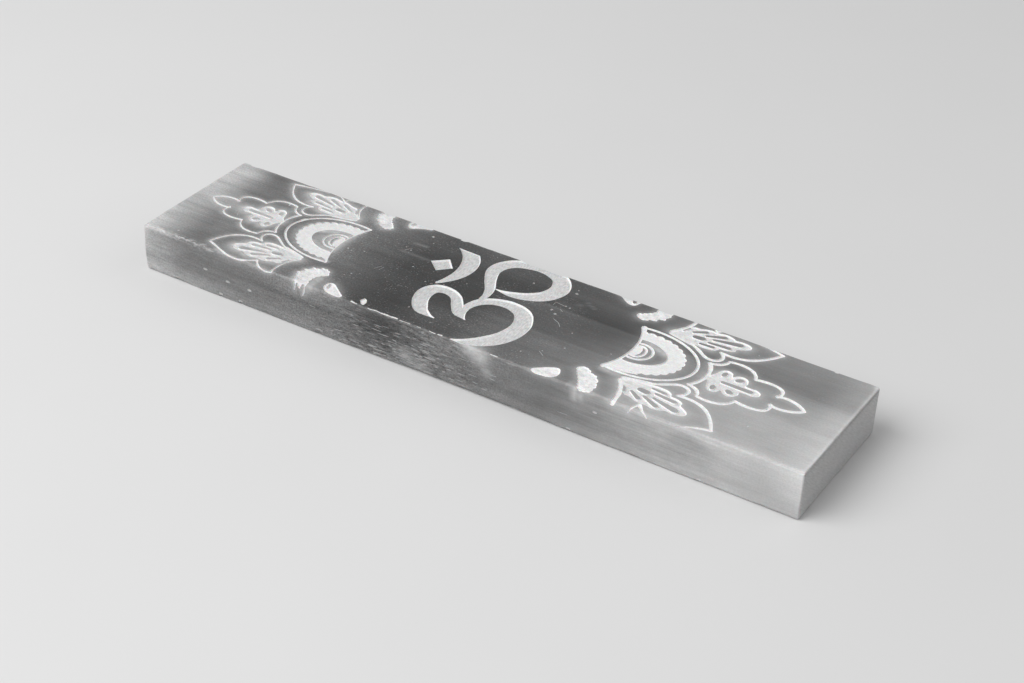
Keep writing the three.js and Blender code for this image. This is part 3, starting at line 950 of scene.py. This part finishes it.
class Finish:
    """One material and its nodes. Values the same all over are set on its shader's own sockets."""

    def __init__(self, name, **plain):
        self.material = bpy.data.materials.new(name)
        self.material.use_nodes = True
        self.nodes = self.material.node_tree.nodes
        self.links = self.material.node_tree.links
        self.shader = self.nodes["Principled BSDF"]
        for socket, amount in plain.items():
            self.shader.inputs[socket.replace("_", " ")].default_value = amount
        where = self.node("TexCoord").outputs["Object"]
        scaled = self.node("VectorMath", {"operation": "SCALE"}, {0: where, "Scale": 1 / MM})
        self.millimetres = scaled.outputs[0]
        apart = self.node("SeparateXYZ", {}, {0: self.millimetres})
        self.x, self.y, self.z = (Value(self, out) for out in apart.outputs)

    def node(self, kind, settings={}, sockets={}):
        made = self.nodes.new("ShaderNode" + kind)
        for name, setting in settings.items():
            setattr(made, name, setting)
        for name, given in sockets.items():
            self.give(made.inputs[name], given)
        return made

    def give(self, socket, given):
        if isinstance(given, Value):
            given = given.socket
        if isinstance(given, bpy.types.NodeSocket):
            self.links.new(given, socket)
        else:
            socket.default_value = given

    def maths(self, operation, *terms):
        made = self.node("Math", {"operation": operation}, dict(enumerate(terms)))
        return Value(self, made.outputs[0])

    def rise(self, value, low, high):
        """Goes smoothly from 0 at low to 1 at high, which may be the smaller number."""
        made = self.node(
            "MapRange", {"interpolation_type": "SMOOTHSTEP"},
            {"Value": value, "From Min": low, "From Max": high},
        )
        return Value(self, made.outputs["Result"])

    def hill(self, *terms):
        """A soft hill: 1 where each value meets its centre, falling off over its width."""
        total = 0
        for value, centre, width in terms:
            away = (value - centre) / width
            total = away * away + total
        return self.maths("EXPONENT", total * -1)

    def point(self, x, y):
        """A place that other nodes can read, made from two values."""
        return self.node("CombineXYZ", {}, {"X": x, "Y": y}).outputs[0]

    def noise(self, size, detail=2, shift=0, roughness=0.5, at=None):
        """Noise whose lumps are about size long, wide and high, in millimetres."""
        laid = self.node(
            "Mapping", {},
            {"Vector": at or self.millimetres, "Location": (shift,) * 3, "Scale": [1 / s for s in size]},
        )
        made = self.node(
            "TexNoise", {"noise_dimensions": "3D"},
            {"Vector": laid.outputs[0], "Scale": 1, "Detail": detail, "Roughness": roughness},
        )
        return Value(self, made.outputs[0])

    def attribute(self, name):
        made = self.node("Attribute", {"attribute_name": name})
        return Value(self, made.outputs["Fac"])

    def paint(self, tone):
        """Colours the surface a neutral grey, from black at 0 to white at 1."""
        made = self.node(
            "Mix", {"data_type": "RGBA", "clamp_factor": True}, {0: tone, 6: (0, 0, 0, 1), 7: (1, 1, 1, 1)}
        )
        self.give(self.shader.inputs["Base Color"], made.outputs[2])

    def roughen(self, roughness):
        self.give(self.shader.inputs["Roughness"], roughness)

    def emboss(self, height, strength, distance):
        made = self.node(
            "Bump", {}, {"Height": height, "Strength": strength, "Distance": distance * MM}
        )
        self.give(self.shader.inputs["Normal"], made.outputs[0])


def sawn_ends(f):
    """1 on the two end faces, which were sawn across the fibres, and 0 elsewhere."""
    first, last = END_FACE
    return f.rise(f.x, first, last) + f.rise(f.x, -first, -last)


def stone_tone_with_painted_light(f):
    """How light the stone is: dark and glassy in the middle, cloudy and pale towards the ends. This is
    partly the stone's own cloudiness and partly painted light: the dark middle is painted shade of a dark
    ground seen through the clear stone, and the pale ends are a painted glow of light from the sides
    scattered in the stone.
    """
    x, y, z = f.x, f.y, f.z
    left_end = f.rise(x, -84, -102)
    right_end = f.rise(x, 88, 101)
    top = (
        0.048
        + 0.11 * f.rise(x, -25, -52)
        + 0.4 * left_end * (1 - 0.3 * f.hill((y, 0, 5)))
        + 0.15 * f.hill((x, -86, 8), (y, 0.6, 4.2))
        + 0.09 * f.hill((x, -94, 4.5), (y, 17.5, 3.2))
        + 0.03 * f.hill((x, -84, 7), (y, -10, 4))
        + 0.04 * f.hill((x, -7, 8), (y, -15, 6))
        + 0.035 * f.rise(y, 7, 21)
        + f.rise(x, -6, 8) * (0.05 * f.rise(y, 8, 6.7) + 0.03 * f.rise(y, -5.4, -6.4))
        + 0.03 * f.hill((x, 15, 5), (y, 9, 5))
        + f.rise(x, 8, 94) * (0.15 + 0.15 * f.rise(y, 12, -9) + 0.03 * f.rise(y, 6.6, 5.6))
        + 0.025 * f.rise(x, 55, 75) * f.rise(y, 6, 20)
        - 0.045 * f.hill((x, 32, 12), (y, 2, 8))
        - 0.035 * f.hill((x, 81, 7), (y, 0, 4))
        + 0.05 * f.rise(x, 87, 96) * f.hill((y, 5, 8))
        + 0.13 * right_end
        # A painted highlight along the front top edge towards the right end
        + 0.08 * f.hill((x, 84, 13), (y, -21.6, 1.8))
    )
    off_middle = (z - 7.6) / 6.5
    side = (
        0.168
        + 0.05 * off_middle * off_middle
        - 0.09 * f.hill((x, -22, 10), (z, 12.5, 6)) - 0.05 * f.hill((x, -20, 16))
        - 0.025 * f.hill((x, 2, 11), (z, 1.5, 3))
        + 0.26 * left_end
        + 0.1 * f.hill((x, -88, 11), (z, 1, 3))
        + f.rise(x, 18, 78) * (0.25 + 0.1 * f.rise(z, 8.5, 13))
        + 0.13 * right_end * f.rise(z, 0, 6)
        + 0.1 * f.rise(x, 66, 80) * f.hill((z, 10.2, 3.6))
        - 0.045 * f.hill((x, -54, 22), (z, 8.5, 0.8))
        + 0.1 * f.hill((x, -99.2, 1.3), (z, 12, 3.2))
    )
    on_top = f.rise(z, 12.7, 13.75)
    # A painted highlight on the top edge of the right end, stronger towards the back
    right_edge_highlight = f.hill((x, 99.7, 0.6), (z, 13.9, 0.45)) * (0.08 + 0.1 * f.rise(y, 1, 12))
    tone = side + (top - side) * on_top
    sawn = sawn_ends(f)
    fine = f.noise((34, 0.5, 0.5), 3, roughness=0.6)
    silk = f.noise((60, 2.4, 2.4), 2, 5)
    cloud = f.noise((15, 8, 7), 3, 9)
    wisps = f.noise((9, 3, 3), 4, 21, 0.6)
    streaks = 0.4 * (fine - 0.5) + 0.5 * (silk - 0.5) + 0.6 * (cloud - 0.5) + 0.5 * (wisps - 0.5)
    calm = 1 + f.rise(x, 10, 60) * (0.4 - 0.95 * on_top) - 0.9 * f.rise(x, 64, 90) * (1 - on_top)
    saw_marks = f.noise((3, 0.4, 1), 3, 3, at=f.point(y * 0.8 - z * 0.6, y * 0.6 + z * 0.8))
    # The sawn ends are darker, partly as stone cut across its fibres and partly as painted shade of ends
    # turned away from the light, and they are darker towards the top
    sawn_tone_and_shade = 0.45 * (saw_marks - 0.5) - 0.25 - 0.036 * (z - 7)
    return tone * (1 + streaks * calm * (1 - 0.93 * sawn) + sawn * sawn_tone_and_shade) + right_edge_highlight


def satin_stone():
    f = Finish(
        "satin_selenite", IOR=STONE_IOR, Specular_IOR_Level=0.4,
        Subsurface_Weight=0.12, Subsurface_Scale=0.0015,
    )
    tone = stone_tone_with_painted_light(f)
    on_front = f.rise(f.y, -21.6, -22.3)
    left_part = f.rise(f.x, 40, -5)
    glassy = f.hill((f.x, -22, 6), (f.z, 13, 4.5))
    splintered = f.hill((f.x, -16, 20)) * on_front * (1 - 0.8 * glassy)
    grain = f.noise((0.5, 0.4, 0.4), 1, 37) - 0.5
    fibres = f.noise((2.4, 0.35, 0.35), 3, 31, 0.6)
    shards = f.noise((3, 0.9, 0.8), 3, 61, 0.6)
    flecks = f.rise(fibres, 0.58, 0.7) * f.rise(shards, 0.42, 0.6)
    dusty_places = f.rise(f.noise((7, 6, 6), 2, 3), 0.35, 0.65)
    dust = f.rise(f.noise((0.55, 0.45, 0.45), 1, 43), 0.62, 0.74) * dusty_places
    broken = 0.5 + f.noise((1.4, 0.9, 0.9), 3, 17)
    edge = f.attribute("edge")
    scuffed = f.hill((f.y, -21.9, 1.1), (f.z, 13.6, 1)) * (0.05 + 0.22 * f.hill((f.x, -85, 11)))
    powder_and_glow = f.attribute("powder_and_glow") * broken
    smoother = 1 - 0.5 * f.rise(f.x, -50, -75)
    roughly = 1 + (0.3 + 1.3 * left_part) * smoother * (1 - 0.8 * sawn_ends(f)) * grain
    roughly = roughly + (2 * splintered + 0.45 * on_front * left_part) * (fibres - 0.5)
    roughly = roughly + (2.6 * splintered + 0.5 * on_front * left_part) * (shards - 0.5)
    dusted = (0.06 + 0.16 * left_part) * (1 - 0.85 * on_front) * smoother * dust
    # The rounded edges are paler, partly as worn stone and partly as painted highlight
    tone = tone * roughly + 0.28 * flecks * splintered + dusted + 0.05 * edge * broken
    tone = tone + scuffed * f.rise(f.noise((1.8, 0.8, 0.8), 3, 53, 0.65), 0.44, 0.66)
    # Powder, the painted glow beside the engraving and painted highlights are laid over the stone's tone
    f.paint(tone + (POWDER_AND_GLOW_TONE - tone) * powder_and_glow)
    f.roughen(0.36 + 0.14 * (f.noise((25, 1.5, 1.5), 2, 2) - 0.5) + 0.15 * edge + 0.35 * powder_and_glow)
    scuffs = f.noise((3, 0.4, 0.4), 3, 8)
    off_end = 1 - 0.85 * sawn_ends(f)
    f.emboss((f.noise((30, 0.45, 0.45), 3, 12) + 0.5 * scuffs) * off_end, 0.35, 0.05)
    return f.material


def frosted(name, lightness, grain, streak, patchiness=0.26):
    """Where the stone is cut it is rough, white and grainy, and here and there a little thinner."""
    f = Finish(name, IOR=STONE_IOR, Specular_IOR_Level=0.2, Subsurface_Weight=0.15, Subsurface_Scale=0.001)
    speckle = f.noise((0.2, 0.2, 0.2), 2, 4)
    fibres = f.noise(streak, 3, 14)
    patches = f.noise((1.7, 1.3, 1.3), 2, 24)
    uneven = grain * (speckle - 0.5) + 1.4 * grain * (fibres - 0.5) + patchiness * (patches - 0.5)
    tone = lightness * (1 + uneven)
    tone = tone * (1 - 0.1 * f.rise(f.x, 20, -50))
    f.paint(tone)
    f.roughen(0.82 + 0.2 * (speckle - 0.5))
    f.emboss(speckle + 0.6 * fibres, 0.6, 0.12)
    return f.material


def bruised(name, whiteness):
    """Where the stone is nicked or chipped it shows paler than its own tone."""
    f = Finish(name, IOR=STONE_IOR, Specular_IOR_Level=0.3, Subsurface_Weight=0.1, Subsurface_Scale=0.001)
    tone = stone_tone_with_painted_light(f)
    crumbs = f.noise((0.8, 0.35, 0.35), 3, 6)
    f.paint(tone + (BRUISE_TONE - tone) * whiteness * (0.4 + 1.2 * crumbs))
    f.roughen(0.6 + 0.3 * (crumbs - 0.5))
    f.emboss(crumbs, 0.5, 0.1)
    return f.material


def floor_finish():
    f = Finish("pale_floor", Specular_IOR_Level=0.2)
    f.paint(0.72 + 0.02 * (f.noise((60, 60, 60), 2) - 0.5))
    f.roughen(0.8 + 0.05 * (f.noise((5, 5, 5), 2) - 0.5))
    return f.material


def engraved_slab():
    slab = slab_body(satin_stone())
    white = frosted("frosted_ornament", 0.84, 0.26, (0.9, 0.3, 0.3))
    leaf_white = frosted("frosted_leaf", 0.74, 0.4, (0.9, 0.3, 0.3), 0.5)
    bean_white = frosted("frosted_bean", 0.82, 0.4, (0.6, 0.3, 0.3), 0.7)
    rim_white = frosted("frosted_rim", 0.9, 0.2, (0.5, 0.5, 0.5))
    sign_white = frosted("frosted_sign", 0.63, 0.62, (0.4, 1.3, 0.4), 0.3)
    sign_rim = frosted("frosted_sign_rim", 0.86, 0.3, (0.5, 0.5, 0.5))
    tools = [cutter(shape, SIGN_DEPTH, sign_white, slope=1, wall_finish=sign_rim) for shape in om_sign()]
    for end in (LEFT_END, RIGHT_END):
        tools += ornament(end, white, leaf_white, bean_white, rim_white)
    tools.append(cutter(lambda grow: np.array(SPARK), ORNAMENT_DEPTH, white))
    bruise = bruised("bruised_edge", 0.75)
    scratch = bruised("scratched_stone", 0.42)
    tools += marks(scratch, bruise)
    tools += splinters(bruised("splintered_stone", 0.38), scratch) + chips(bruised("chipped_stone", 0.14))
    combined(slab, tools, "DIFFERENCE")
    mark_cloud_and_glow(slab)
    pick(slab)
    bpy.ops.object.shade_smooth_by_angle(angle=math.radians(40))
    return slab


def pale_floor():
    deselect_all()
    bpy.ops.mesh.primitive_plane_add(size=6)
    floor = bpy.context.object
    floor.name = "floor"
    floor.location.z = -FLOOR_GAP * MM
    floor.data.materials.append(floor_finish())


def lamp(name, direction, distance, size, power):
    direction = Vector(direction).normalized()
    turned = direction.to_track_quat("Z", "Y").to_matrix().to_4x4()
    light = put(name, bpy.data.lights.new(name, "AREA"), direction * distance, turned)
    light.data.shape = "DISK"
    light.data.size = size
    light.data.energy = power


def light_the_studio():
    lamp("key_light", (-0.4, -0.55, 0.74), 1.3, 1.2, 15)
    lamp("fill_light", (0.6, 0.5, 0.6), 1.6, 1.4, 2.4)
    world = bpy.data.worlds.new("studio")
    world.use_nodes = True
    world.node_tree.nodes["Background"].inputs["Color"].default_value = (1, 1, 1, 1)
    world.node_tree.nodes["Background"].inputs["Strength"].default_value = 0.4
    bpy.context.scene.world = world
    bpy.context.scene.view_settings.view_transform = "Standard"


aim_camera()
light_the_studio()
pale_floor()
slab = engraved_slab()
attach(slab, "root")
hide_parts("selenite_slab")
